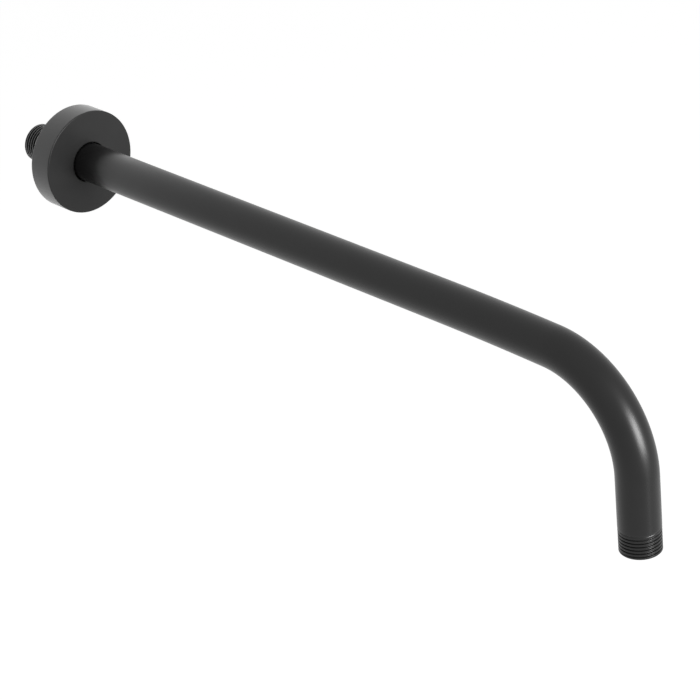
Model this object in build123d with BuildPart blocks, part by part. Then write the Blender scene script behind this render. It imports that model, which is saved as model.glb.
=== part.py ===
from build123d import *
from math import radians, sin
import os

os.makedirs("parts", exist_ok=True)

# Wall-mounted shower arm: a bent pipe threaded at both ends, and a cup flange that slides along it.
# Sizes are in millimetres. The origin lies on the pipe's axis in the plane of the finished wall,
# +X leaves the wall along the pipe, and the outlet points down along -Z.

# Bent pipe
tube_od = 21.0
tube_wall = 2.5
reach = 406.0  # wall plane to the outlet's axis
outlet_drop = 92.0  # pipe axis at the wall down to the outlet's end
inlet_length = 30.0  # wall plane back to the inlet's end
bend_radius = 51.5  # of the pipe's axis
entry_radius = 2000.0  # slight bow where the straight run goes over into the bend
entry_turn = 2.0  # degrees of the quarter turn that the bow takes
mouth_chamfer = 0.6  # on the bore, at both ends

# Male pipe threads cut on both ends, as plain lands at the height of their crests
thread_relief = 0.1  # pipe's surface down to the crests
thread_chamfer = 0.3  # on the first crest
inlet_thread_length = 18.0
outlet_thread_length = 11.5
thread_runout = 1.8

# Cup flange that covers the hole in the wall
flange_od = 57.0
flange_depth = 14.5
flange_face = 2.6
flange_rim = 2.4
front_edge_chamfer = 0.4
back_edge_chamfer = 0.3
hole_clearance = 0.6  # around the pipe
hole_edge_chamfer = 0.3
hub_depth = 8.4  # front face back to the hub's end
hub_wall = 2.0  # outside the ring's groove

# Square-cut rubber ring in the hub's groove, which grips the pipe
ring_width = 2.0  # along the pipe
ring_height = 2.0  # out from the pipe
ring_edge_chamfer = 0.3
ring_setback = 3.6  # front face back to the groove
ring_grip_clearance = 0.05  # to the pipe
ring_seat_clearance = 0.05  # to the groove's floor
ring_side_clearance = 0.3  # to each wall of the groove

# Pipe: the tube's ring section swept along straight run, bow, bend and drop
tube_radius = tube_od / 2
bore_radius = tube_radius - tube_wall
quarter_turn = 90.0
bow_sine = sin(radians(entry_turn))
run_end = reach - entry_radius * bow_sine - bend_radius * (1 - bow_sine)
outlet_end = Vector(reach, 0, -outlet_drop)

with BuildLine(Plane.XZ) as pipe_axis:
    run = Line((-inlet_length, 0), (run_end, 0))
    bow = JernArc(run @ 1, run % 1, entry_radius, -entry_turn)
    bend = JernArc(bow @ 1, bow % 1, bend_radius, entry_turn - quarter_turn)
    drop = Line(bend @ 1, outlet_end)

# Each end is turned down to the thread's crests: its plane's X runs into the pipe, its Y is the radius
thread_radius = tube_radius - thread_relief
blank_radius = tube_od  # clear outside the pipe
inlet_plane = Plane((-inlet_length, 0, 0), x_dir=(1, 0, 0), z_dir=(0, -1, 0))
outlet_plane = Plane(outlet_end, x_dir=(0, 0, 1), z_dir=(0, -1, 0))

with BuildPart() as arm_tube:
    with BuildSketch(Plane(run @ 0, z_dir=run % 0)):
        Circle(tube_radius)
        Circle(bore_radius, mode=Mode.SUBTRACT)
    sweep(path=pipe_axis.line)

    for end_plane, thread_length in (
        (inlet_plane, inlet_thread_length),
        (outlet_plane, outlet_thread_length),
    ):
        with BuildSketch(end_plane):
            with BuildLine():
                Polyline(
                    (0, thread_radius - thread_chamfer),
                    (thread_chamfer, thread_radius),
                    (thread_length, thread_radius),
                    (thread_length + thread_runout, tube_radius),
                    (thread_length + thread_runout, blank_radius),
                    (0, blank_radius),
                    close=True,
                )
            make_face()
        revolve(axis=Axis(end_plane.origin, end_plane.x_dir), mode=Mode.SUBTRACT)

    end_faces = arm_tube.faces().filter_by(GeomType.PLANE)
    mouths = [face.edges().sort_by(SortBy.RADIUS)[0] for face in end_faces]
    chamfer(mouths, mouth_chamfer)

# Flange: a turned cup whose hub carries the ring's groove, open towards the wall
flange_radius = flange_od / 2
rim_inner_radius = flange_radius - flange_rim
hole_radius = tube_radius + hole_clearance
face_back = flange_depth - flange_face
hub_end = flange_depth - hub_depth
groove_width = ring_width + 2 * ring_side_clearance
groove_back = flange_depth - ring_setback - groove_width
groove_radius = tube_radius + ring_grip_clearance + ring_height + ring_seat_clearance
hub_radius = groove_radius + hub_wall

with BuildPart() as wall_flange:
    with BuildSketch(Plane.XZ):
        with BuildLine():
            Polyline(
                (0, rim_inner_radius),
                (0, flange_radius),
                (flange_depth, flange_radius),
                (flange_depth, hole_radius),
                (hub_end, hole_radius),
                (hub_end, hub_radius),
                (face_back, hub_radius),
                (face_back, rim_inner_radius),
                close=True,
            )
        make_face()
        with Locations((groove_back, hole_radius)):
            Rectangle(
                groove_width,
                groove_radius - hole_radius,
                align=(Align.MIN, Align.MIN),
                mode=Mode.SUBTRACT,
            )
    revolve(axis=Axis.X)

    circles = wall_flange.edges().filter_by(GeomType.CIRCLE)
    front_circles = circles.group_by(Axis.X)[-1].sort_by(SortBy.RADIUS)
    back_circles = circles.group_by(Axis.X)[0].sort_by(SortBy.RADIUS)
    chamfer(front_circles[-1], front_edge_chamfer)
    chamfer(back_circles[-1], back_edge_chamfer)
    chamfer(front_circles[0], hole_edge_chamfer)

# Ring: a square rubber section with broken edges, which sits in the groove and rubs on the pipe
ring_back = groove_back + ring_side_clearance
ring_inner_radius = tube_radius + ring_grip_clearance

with BuildPart() as flange_ring:
    with BuildSketch(Plane.XZ):
        with Locations((ring_back, ring_inner_radius)):
            Rectangle(ring_width, ring_height, align=(Align.MIN, Align.MIN))
    revolve(axis=Axis.X)
    chamfer(flange_ring.edges().filter_by(GeomType.CIRCLE), ring_edge_chamfer)

arm_tube.part.label = "arm_tube"
export_step(arm_tube.part, "parts/arm_tube.step")
wall_flange.part.label = "wall_flange"
export_step(wall_flange.part, "parts/wall_flange.step")
flange_ring.part.label = "flange_ring"
export_step(flange_ring.part, "parts/flange_ring.step")
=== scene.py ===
from math import atan2, cos, hypot, pi, radians, sin

import bmesh
import bpy
from mathutils import Matrix, Vector


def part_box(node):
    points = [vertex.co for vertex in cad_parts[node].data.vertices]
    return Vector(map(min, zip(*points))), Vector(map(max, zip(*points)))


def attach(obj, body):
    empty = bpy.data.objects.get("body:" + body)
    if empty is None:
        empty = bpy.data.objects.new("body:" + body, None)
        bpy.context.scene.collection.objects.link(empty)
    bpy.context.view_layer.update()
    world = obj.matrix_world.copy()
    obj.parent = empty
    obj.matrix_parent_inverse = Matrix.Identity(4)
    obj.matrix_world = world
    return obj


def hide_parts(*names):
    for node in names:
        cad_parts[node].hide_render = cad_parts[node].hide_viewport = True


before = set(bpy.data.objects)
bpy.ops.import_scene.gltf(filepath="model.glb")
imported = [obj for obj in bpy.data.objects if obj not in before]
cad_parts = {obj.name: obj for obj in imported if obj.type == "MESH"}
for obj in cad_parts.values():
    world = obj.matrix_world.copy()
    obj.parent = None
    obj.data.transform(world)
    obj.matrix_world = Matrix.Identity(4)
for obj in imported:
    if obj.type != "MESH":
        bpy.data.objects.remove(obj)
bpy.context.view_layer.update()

# Bent pipe
# One length of drawn tube, turned down and threaded at both ends while it is straight, then bent over
# a former and coated satin black outside. The coat doesn't reach into the bore, which stays bare metal.
# Its inlet screws into the fitting behind the wall, and a shower head screws onto its outlet.
mm = 0.001
pipe_low, pipe_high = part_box("arm_tube")
pipe_radius = pipe_high.y
bore_radius = 8.0 * mm
mouth_chamfer = 0.6 * mm
inlet_end = pipe_low.x
outlet_end = pipe_low.z
reach = pipe_high.x - pipe_radius
bow_radius = 2000 * mm
bow_turn = radians(2)
bend_radius = 51.5 * mm
bend_turn = pi / 2 - bow_turn

# Places along the pipe's axis, counted from the wall as if the pipe were still straight
bow_start = reach - bow_radius * sin(bow_turn) - bend_radius * (1 - sin(bow_turn))
bend_start = bow_start + bow_radius * bow_turn
bend_end = bend_start + bend_radius * bend_turn
bend_drop = bow_radius * (1 - cos(bow_turn)) + bend_radius * cos(bow_turn)
pipe_end = bend_end - bend_drop - outlet_end

# Half-inch pipe threads, 14 turns to the inch. The outlet's grooves look shallower, as if filled by coat
thread_pitch = 25.4 / 14 * mm
crest_radius = 10.4 * mm
root_width = 0.20 * mm
inlet_thread = 18.0 * mm
inlet_crest = 0.36 * mm
inlet_groove = 1.16 * mm
outlet_thread = 11.5 * mm
outlet_crest = 0.70 * mm
outlet_groove = 0.80 * mm
thread_runout = 1.8 * mm
thread_chamfer = 0.3 * mm
thread_lead = 0.6 * mm

# The pipe's colour is painted darker than the flange's, though both wear one coat: painted shade that
# dims the drop
pipe_dark = (0.004, 0.004, 0.004, 1)
pipe_light = (0.007, 0.007, 0.007, 1)
pipe_roughness = 0.285
pipe_shine = 0.325
bore_dark = (0.20, 0.19, 0.18, 1)
bore_light = (0.32, 0.31, 0.29, 1)
bore_roughness = 0.35
drawn_along = (0.04, 1, 0.2)
grain_depth = 0.02 * mm

# A row of faces this near an edge keeps the plain surface beside it true in the light
edge_row = 0.8 * mm
same_place = 0.001 * mm
pipe_sides = 128
rows_per_turn = 18
bend_rows = 44
bow_rows = 8
run_rows = 12
sharp_angle = radians(38)


def thread_groove(turns, crest_width, depth):
    """How far the thread lies below its crest, a number of turns away from a crest."""
    from_crest = abs(turns - round(turns)) * thread_pitch
    flank_width = (thread_pitch - crest_width - root_width) / 2
    down = min(max((from_crest - crest_width / 2) / flank_width, 0), 1)
    return depth * down**2 * (3 - 2 * down)


def thread_fade(from_end, thread_length):
    """None on the plain lead at the pipe's end, then the full thread, and none past its run-out."""
    cutting_in = (from_end - thread_lead) / (thread_pitch / 2)
    running_out = (thread_length + thread_runout - from_end) / (thread_pitch + thread_runout)
    return min(max(min(cutting_in, running_out), 0), 1)


def bent(point):
    """Moves a point of the straight pipe to its place on the bent one."""
    along, aside, above = point
    if along <= bow_start:
        return Vector(point)
    if along <= bend_start:
        turned = (along - bow_start) / bow_radius
        arm = bow_radius + above
        return Vector((bow_start + arm * sin(turned), aside, arm * cos(turned) - bow_radius))
    turned = min((along - bend_start) / bend_radius, bend_turn) + bow_turn
    centre_x = bow_start + (bow_radius - bend_radius) * sin(bow_turn)
    centre_z = (bow_radius - bend_radius) * cos(bow_turn) - bow_radius
    arm = bend_radius + above
    dropped = max(along - bend_end, 0)
    return Vector((centre_x + arm * sin(turned), aside, centre_z + arm * cos(turned) - dropped))


def spun_outline(mesh, corners, sides):
    """Spins a closed outline about the X axis. A corner is its place along X, its radius and, for the
    stretch that follows it, the number of rows."""
    points = [mesh.verts.new((along, 0, radius)) for along, radius, rows in corners]
    stretches = [mesh.edges.new((a, b)) for a, b in zip(points, points[1:] + points[:1])]
    for stretch, (along, radius, rows) in zip(stretches, corners):
        if rows > 1:
            bmesh.ops.subdivide_edges(mesh, edges=[stretch], cuts=rows - 1)
    outline = mesh.verts[:] + mesh.edges[:]
    bmesh.ops.spin(mesh, geom=outline, axis=(1, 0, 0), angle=2 * pi, steps=sides, use_merge=True)
    bmesh.ops.remove_doubles(mesh, verts=mesh.verts, dist=same_place)
    bmesh.ops.recalc_face_normals(mesh, faces=mesh.faces)


def finished_piece(mesh, name, *finishes):
    """Shades a mesh smooth between its sharp edges and makes it an object with these materials."""
    for face in mesh.faces:
        face.smooth = True
    for edge in mesh.edges:
        edge.smooth = edge.calc_face_angle(0) < sharp_angle
    data = bpy.data.meshes.new(name)
    mesh.to_mesh(data)
    mesh.free()
    for finish in finishes:
        data.materials.append(finish)
    piece = bpy.data.objects.new(name, data)
    bpy.context.scene.collection.objects.link(piece)
    return piece


class Signal:
    """One output of a shader node. Sums and products of signals and numbers add Math nodes."""

    def __init__(self, tree, socket):
        self.tree = tree
        self.socket = socket

    def math(self, operation, first, second):
        return add_node(self.tree, "ShaderNodeMath", {"operation": operation}, {0: first, 1: second})

    def __add__(self, other):
        return self.math("ADD", self, other)

    def __radd__(self, other):
        return self.math("ADD", other, self)

    def __mul__(self, other):
        return self.math("MULTIPLY", self, other)

    def __rmul__(self, other):
        return self.math("MULTIPLY", other, self)


def add_node(tree, kind, settings, inputs, output=0):
    """Adds a node with its settings and its sockets' values or links, and gives one output."""
    node = tree.nodes.new(kind)
    for setting, value in settings.items():
        setattr(node, setting, value)
    for socket, value in inputs.items():
        if isinstance(value, Signal):
            tree.links.new(value.socket, node.inputs[socket])
        else:
            node.inputs[socket].default_value = value
    return Signal(tree, node.outputs[output]) if node.outputs else None


def new_material(name):
    material = bpy.data.materials.new(name)
    material.use_nodes = True
    material.node_tree.nodes.clear()
    return material


def noise(tree, place, scale, detail):
    sockets = {"Vector": place, "Scale": scale, "Detail": detail, "Roughness": 0.5}
    return add_node(tree, "ShaderNodeTexNoise", {}, sockets, "Fac")


def blend(tree, share, first, second):
    """Goes from the first colour to the second as the share goes from 0 to 1."""
    return add_node(tree, "ShaderNodeMix", {"data_type": "RGBA"}, {0: share, 6: first, 7: second}, 2)


def black_coat(name, dark, light, roughness, shine):
    """Satin black coat: even colour with a faint mottle, a shallow orange peel and a fine dry grain."""
    material = new_material(name)
    tree = material.node_tree
    place = add_node(tree, "ShaderNodeTexCoord", {}, {}, "Object")
    mottle = noise(tree, place, scale=60, detail=2)
    peel = noise(tree, place, scale=700, detail=2)
    grain = noise(tree, place, scale=4500, detail=3)
    shade = blend(tree, mottle * 0.7 + grain * 0.3, dark, light)
    relief = add_node(
        tree,
        "ShaderNodeBump",
        {},
        {"Strength": 0.25, "Distance": grain_depth, "Height": peel * 0.8 + grain * 0.2},
    )
    coat = add_node(
        tree,
        "ShaderNodeBsdfPrincipled",
        {},
        {
            "Base Color": shade,
            "Roughness": roughness + mottle * 0.05 + grain * 0.04,
            "Specular IOR Level": shine,
            "Normal": relief,
        },
    )
    add_node(tree, "ShaderNodeOutputMaterial", {}, {"Surface": coat})
    return material


def bare_bore():
    """Drawn metal inside the pipe, dull, with fine lines along the way it was drawn."""
    material = new_material("bare_bore")
    tree = material.node_tree
    place = add_node(tree, "ShaderNodeTexCoord", {}, {}, "Object")
    stretched = add_node(tree, "ShaderNodeMapping", {}, {"Vector": place, "Scale": drawn_along})
    lines = noise(tree, stretched, scale=4000, detail=3)
    stain = noise(tree, place, scale=150, detail=3)
    shade = blend(tree, stain, bore_dark, bore_light)
    relief = add_node(
        tree, "ShaderNodeBump", {}, {"Strength": 0.3, "Distance": grain_depth, "Height": lines}
    )
    metal = add_node(
        tree,
        "ShaderNodeBsdfPrincipled",
        {},
        {
            "Base Color": shade,
            "Metallic": 1.0,
            "Roughness": bore_roughness + stain * 0.2,
            "Normal": relief,
        },
    )
    add_node(tree, "ShaderNodeOutputMaterial", {}, {"Surface": metal})
    return material


inlet_rows = round(inlet_thread / thread_pitch * rows_per_turn)
outlet_rows = round(outlet_thread / thread_pitch * rows_per_turn)
runout_rows = round(thread_runout / thread_pitch * rows_per_turn)
chamfer_rows = round(thread_chamfer / thread_pitch * rows_per_turn)
first_radius = crest_radius - thread_chamfer
thread_root = crest_radius - max(inlet_groove, outlet_groove)
plain_start = inlet_end + inlet_thread + thread_runout
plain_end = pipe_end - outlet_thread - thread_runout

pipe = bmesh.new()
spun_outline(
    pipe,
    [
        (inlet_end, bore_radius + mouth_chamfer, 1),
        (inlet_end, first_radius, chamfer_rows),
        (inlet_end + thread_chamfer, crest_radius, inlet_rows),
        (inlet_end + inlet_thread, crest_radius, runout_rows),
        (plain_start, pipe_radius, 1),
        (plain_start + edge_row, pipe_radius, run_rows),
        (bow_start, pipe_radius, bow_rows),
        (bend_start, pipe_radius, bend_rows),
        (bend_end, pipe_radius, 1),
        (plain_end - edge_row, pipe_radius, 1),
        (plain_end, pipe_radius, runout_rows),
        (pipe_end - outlet_thread, crest_radius, outlet_rows),
        (pipe_end - thread_chamfer, crest_radius, chamfer_rows),
        (pipe_end, first_radius, 1),
        (pipe_end, bore_radius + mouth_chamfer, 1),
        (pipe_end - mouth_chamfer, bore_radius, 1),
        (bend_end, bore_radius, bend_rows),
        (bend_start, bore_radius, bow_rows),
        (bow_start, bore_radius, run_rows),
        (inlet_end + mouth_chamfer, bore_radius, 1),
    ],
    pipe_sides,
)
for face in pipe.faces:
    middle = face.calc_center_median()
    face.material_index = int(hypot(middle.y, middle.z) < bore_radius + mouth_chamfer)
for vert in pipe.verts:
    radius = hypot(vert.co.y, vert.co.z)
    from_inlet = vert.co.x - inlet_end
    from_outlet = pipe_end - vert.co.x
    if radius > thread_root:
        turns = vert.co.x / thread_pitch - atan2(vert.co.z, vert.co.y) / (2 * pi)
        cut_in = thread_groove(turns, inlet_crest, inlet_groove)
        cut_out = thread_groove(turns, outlet_crest, outlet_groove)
        cut_in *= thread_fade(from_inlet, inlet_thread)
        cut_out *= thread_fade(from_outlet, outlet_thread)
        threaded = max(radius, crest_radius) - cut_in - cut_out
        vert.co.yz = vert.co.yz * (min(radius, threaded) / radius)
for vert in pipe.verts:
    vert.co = bent(vert.co)

pipe_coat_painted_darker = black_coat("pipe_coat_painted_darker", pipe_dark, pipe_light, pipe_roughness, pipe_shine)
arm = finished_piece(pipe, "shower_pipe", pipe_coat_painted_darker, bare_bore())
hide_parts("arm_tube")
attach(arm, "arm")

# Rubber ring
# A square-cut ring of moulded black rubber, sprung into the groove in the flange's hub. It rubs on the
# pipe and keeps the flange where it is pushed.
ring_low, ring_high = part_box("flange_ring")
ring_radius = ring_high.y
ring_height = 2.0 * mm
ring_rounding = 0.3 * mm
ring_sides = 128
rounding_steps = 4
rubber_dark = (0.006, 0.006, 0.006, 1)
rubber_dusty = (0.018, 0.018, 0.017, 1)
rubber_roughness = 0.7
rubber_shine = 0.4


def round_circles(mesh, offset, steps, chosen):
    """Rounds the circular edges whose place along X and radius are chosen."""
    circles = []
    for edge in mesh.edges:
        a, b = [vert.co for vert in edge.verts]
        level = abs(a.x - b.x) < same_place
        round_axis = abs(a.yz.length - b.yz.length) < same_place
        if level and round_axis and chosen(a.x, a.yz.length):
            circles.append(edge)
    bmesh.ops.bevel(
        mesh,
        geom=circles,
        offset=offset,
        offset_type="OFFSET",
        segments=steps,
        profile=0.5,
        affect="EDGES",
        material=-1,
    )


def moulded_rubber():
    """Dull black rubber with a dusty bloom."""
    material = new_material("moulded_rubber")
    tree = material.node_tree
    place = add_node(tree, "ShaderNodeTexCoord", {}, {}, "Object")
    bloom = noise(tree, place, scale=500, detail=3)
    grain = noise(tree, place, scale=5000, detail=2)
    shade = blend(tree, bloom, rubber_dark, rubber_dusty)
    relief = add_node(
        tree, "ShaderNodeBump", {}, {"Strength": 0.3, "Distance": grain_depth, "Height": grain}
    )
    rubber = add_node(
        tree,
        "ShaderNodeBsdfPrincipled",
        {},
        {
            "Base Color": shade,
            "Roughness": rubber_roughness + bloom * 0.2,
            "Specular IOR Level": rubber_shine,
            "Normal": relief,
        },
    )
    add_node(tree, "ShaderNodeOutputMaterial", {}, {"Surface": rubber})
    return material


ring = bmesh.new()
spun_outline(
    ring,
    [
        (ring_low.x, ring_radius - ring_height, 1),
        (ring_low.x, ring_radius, 1),
        (ring_high.x, ring_radius, 1),
        (ring_high.x, ring_radius - ring_height, 1),
    ],
    ring_sides,
)
round_circles(ring, ring_rounding, rounding_steps, lambda along, radius: True)
grip_ring = finished_piece(ring, "grip_ring", moulded_rubber())
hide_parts("flange_ring")
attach(grip_ring, "ring")

# Wall flange
# A turned cup with a flat face and a plain rim, in the pipe's black coat but a little rougher, and
# painted lighter than the pipe as painted light on its face and rim. Its open back covers the hole in
# the wall, and the hub inside it carries the rubber ring's groove.
flange_low, flange_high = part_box("wall_flange")
flange_back = flange_low.x
flange_front = flange_high.x
flange_radius = flange_high.y
flange_face = 2.6 * mm
flange_rim = 2.4 * mm
hole_clearance = 0.6 * mm
hub_depth = 8.4 * mm
hub_wall = 2.0 * mm
groove_side = 0.3 * mm
groove_clearance = 0.05 * mm
front_rounding = 0.5 * mm
small_rounding = 0.3 * mm
flange_sides = 192
# The flange's colour is painted lighter than the pipe's, though both wear one coat: painted light on its
# face and rim
flange_dark = (0.009, 0.009, 0.009, 1)
flange_light = (0.0135, 0.0135, 0.0135, 1)
flange_roughness = 0.37
flange_shine = 0.24

hole_radius = pipe_radius + hole_clearance
groove_floor = ring_radius + groove_clearance
hub_radius = groove_floor + hub_wall
face_back = flange_front - flange_face
hub_back = flange_front - hub_depth


def at(along, radius):
    """Chooses the circle at this place along X and this radius."""
    near = 0.01 * mm
    return lambda x, r: abs(x - along) < near and abs(r - radius) < near


cup = bmesh.new()
spun_outline(
    cup,
    [
        (flange_back, flange_radius - flange_rim, 1),
        (flange_back, flange_radius, 1),
        (flange_back + edge_row, flange_radius, 1),
        (flange_front - edge_row, flange_radius, 1),
        (flange_front, flange_radius, 1),
        (flange_front, flange_radius - edge_row, 1),
        (flange_front, hole_radius + edge_row, 1),
        (flange_front, hole_radius, 1),
        (ring_high.x + groove_side, hole_radius, 1),
        (ring_high.x + groove_side, groove_floor, 1),
        (ring_low.x - groove_side, groove_floor, 1),
        (ring_low.x - groove_side, hole_radius, 1),
        (hub_back, hole_radius, 1),
        (hub_back, hub_radius, 1),
        (face_back, hub_radius, 1),
        (face_back, flange_radius - flange_rim, 1),
    ],
    flange_sides,
)
round_circles(cup, front_rounding, rounding_steps, at(flange_front, flange_radius))
round_circles(cup, small_rounding, rounding_steps, at(flange_back, flange_radius))
round_circles(cup, small_rounding, rounding_steps, at(flange_front, hole_radius))
flange_coat_painted_lighter = black_coat("flange_coat_painted_lighter", flange_dark, flange_light, flange_roughness, flange_shine)
flange = finished_piece(cup, "cup_flange", flange_coat_painted_lighter)
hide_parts("wall_flange")
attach(flange, "flange")

# Studio
# A wide white floor well below the arm, which hangs free as if its wall were taken away. A soft box
# beyond the free end makes the streak on the bend, a faint strip below it carries the streak down the
# drop, and a small round panel behind the flange lights its rim.
floor_below = 1.5
floor_size = 12.0
floor_cells = 8
floor_paint = (0.4, 0.4, 0.4, 1)
floor_glow = 0.74
white = (1, 1, 1, 1)
surround_level = 0.6


def seen_white(tree):
    """One for rays that show the background: straight to the camera, in gloss or through glass."""
    paths = {}
    for output in ("Is Camera Ray", "Is Glossy Ray", "Is Transmission Ray"):
        paths[output] = add_node(tree, "ShaderNodeLightPath", {}, {}, output)
    return paths["Is Camera Ray"] + paths["Is Glossy Ray"] + paths["Is Transmission Ray"]


def white_floor():
    """White paint with a faint roller texture. Where it shows, it glows by what it lacks of plain
    white, so that only the object's shadow dims it."""
    material = new_material("white_floor")
    tree = material.node_tree
    place = add_node(tree, "ShaderNodeTexCoord", {}, {}, "Object")
    speckle = noise(tree, place, scale=40, detail=2)
    relief = add_node(
        tree, "ShaderNodeBump", {}, {"Strength": 0.05, "Distance": 0.5 * mm, "Height": speckle}
    )
    paint = add_node(tree, "ShaderNodeBsdfDiffuse", {}, {"Color": floor_paint, "Normal": relief})
    glow = add_node(tree, "ShaderNodeEmission", {}, {"Color": white, "Strength": floor_glow})
    lifted = add_node(tree, "ShaderNodeAddShader", {}, {0: paint, 1: glow})
    surface = add_node(tree, "ShaderNodeMixShader", {}, {0: seen_white(tree), 1: paint, 2: lifted})
    add_node(tree, "ShaderNodeOutputMaterial", {}, {"Surface": surface})
    return material


floor_mesh = bmesh.new()
bmesh.ops.create_grid(
    floor_mesh, x_segments=floor_cells, y_segments=floor_cells, size=floor_size / 2
)
bmesh.ops.translate(floor_mesh, vec=(reach / 2, 0, outlet_end - floor_below), verts=floor_mesh.verts)
floor = finished_piece(floor_mesh, "floor", white_floor())

world = bpy.data.worlds.new("studio")
bpy.context.scene.world = world
world.use_nodes = True
sky = world.node_tree
sky.nodes.clear()
shown = seen_white(sky)
glow = add_node(
    sky,
    "ShaderNodeBackground",
    {},
    {"Color": white, "Strength": surround_level + shown * (1 - surround_level)},
)
add_node(sky, "ShaderNodeOutputWorld", {}, {"Surface": glow})


def soft_lamp(name, place, aim, width, height, power, shape="RECTANGLE"):
    """A soft box or a round panel that stands at a place and faces a point."""
    light = bpy.data.lights.new(name, "AREA")
    light.shape = shape
    light.size = width
    light.size_y = height
    light.energy = power
    lamp = bpy.data.objects.new(name, light)
    lamp.location = place
    lamp.rotation_euler = (Vector(aim) - Vector(place)).to_track_quat("-Z", "Y").to_euler()
    lamp.visible_camera = False
    bpy.context.scene.collection.objects.link(lamp)


bend_middle = (0.44, 0, -0.03)
hub_top = (0, -0.006, 0.018)
soft_lamp("end_lamp", place=(2.38, 0.2, 0.42), aim=bend_middle, width=0.9, height=1.0, power=74)
soft_lamp("strip_lamp", place=(2.23, 0.2, -0.9), aim=bend_middle, width=0.32, height=1.0, power=1.2)
soft_lamp(
    "wall_lamp",
    place=(-0.08, -0.006, 0.018),
    aim=hub_top,
    width=0.235,
    height=0.235,
    power=0.238,
    shape="ELLIPSE",
)

# Camera
# A long lens that looks down on the arm from beyond its free end, rolled a little to the right.
view_azimuth = radians(49.31)
view_elevation = radians(27.98)
view_roll = radians(-5.707)
view_distance = 1.44445
view_aim = Vector((0.21708, -0.00289, -0.04791))
lens_length = 148.2
film_width = 36.0

towards_camera = Vector(
    (
        sin(view_azimuth) * cos(view_elevation),
        -cos(view_azimuth) * cos(view_elevation),
        sin(view_elevation),
    )
)
turned = (-towards_camera).to_track_quat("-Z", "Y").to_matrix().to_4x4()
lens = bpy.data.cameras.new("camera")
lens.lens = lens_length
lens.sensor_width = film_width
camera = bpy.data.objects.new("camera", lens)
camera.matrix_world = (
    Matrix.Translation(view_aim + towards_camera * view_distance)
    @ turned
    @ Matrix.Rotation(view_roll, 4, "Z")
)
bpy.context.scene.collection.objects.link(camera)
bpy.context.scene.camera = camera
bpy.context.scene.view_settings.view_transform = "Standard"
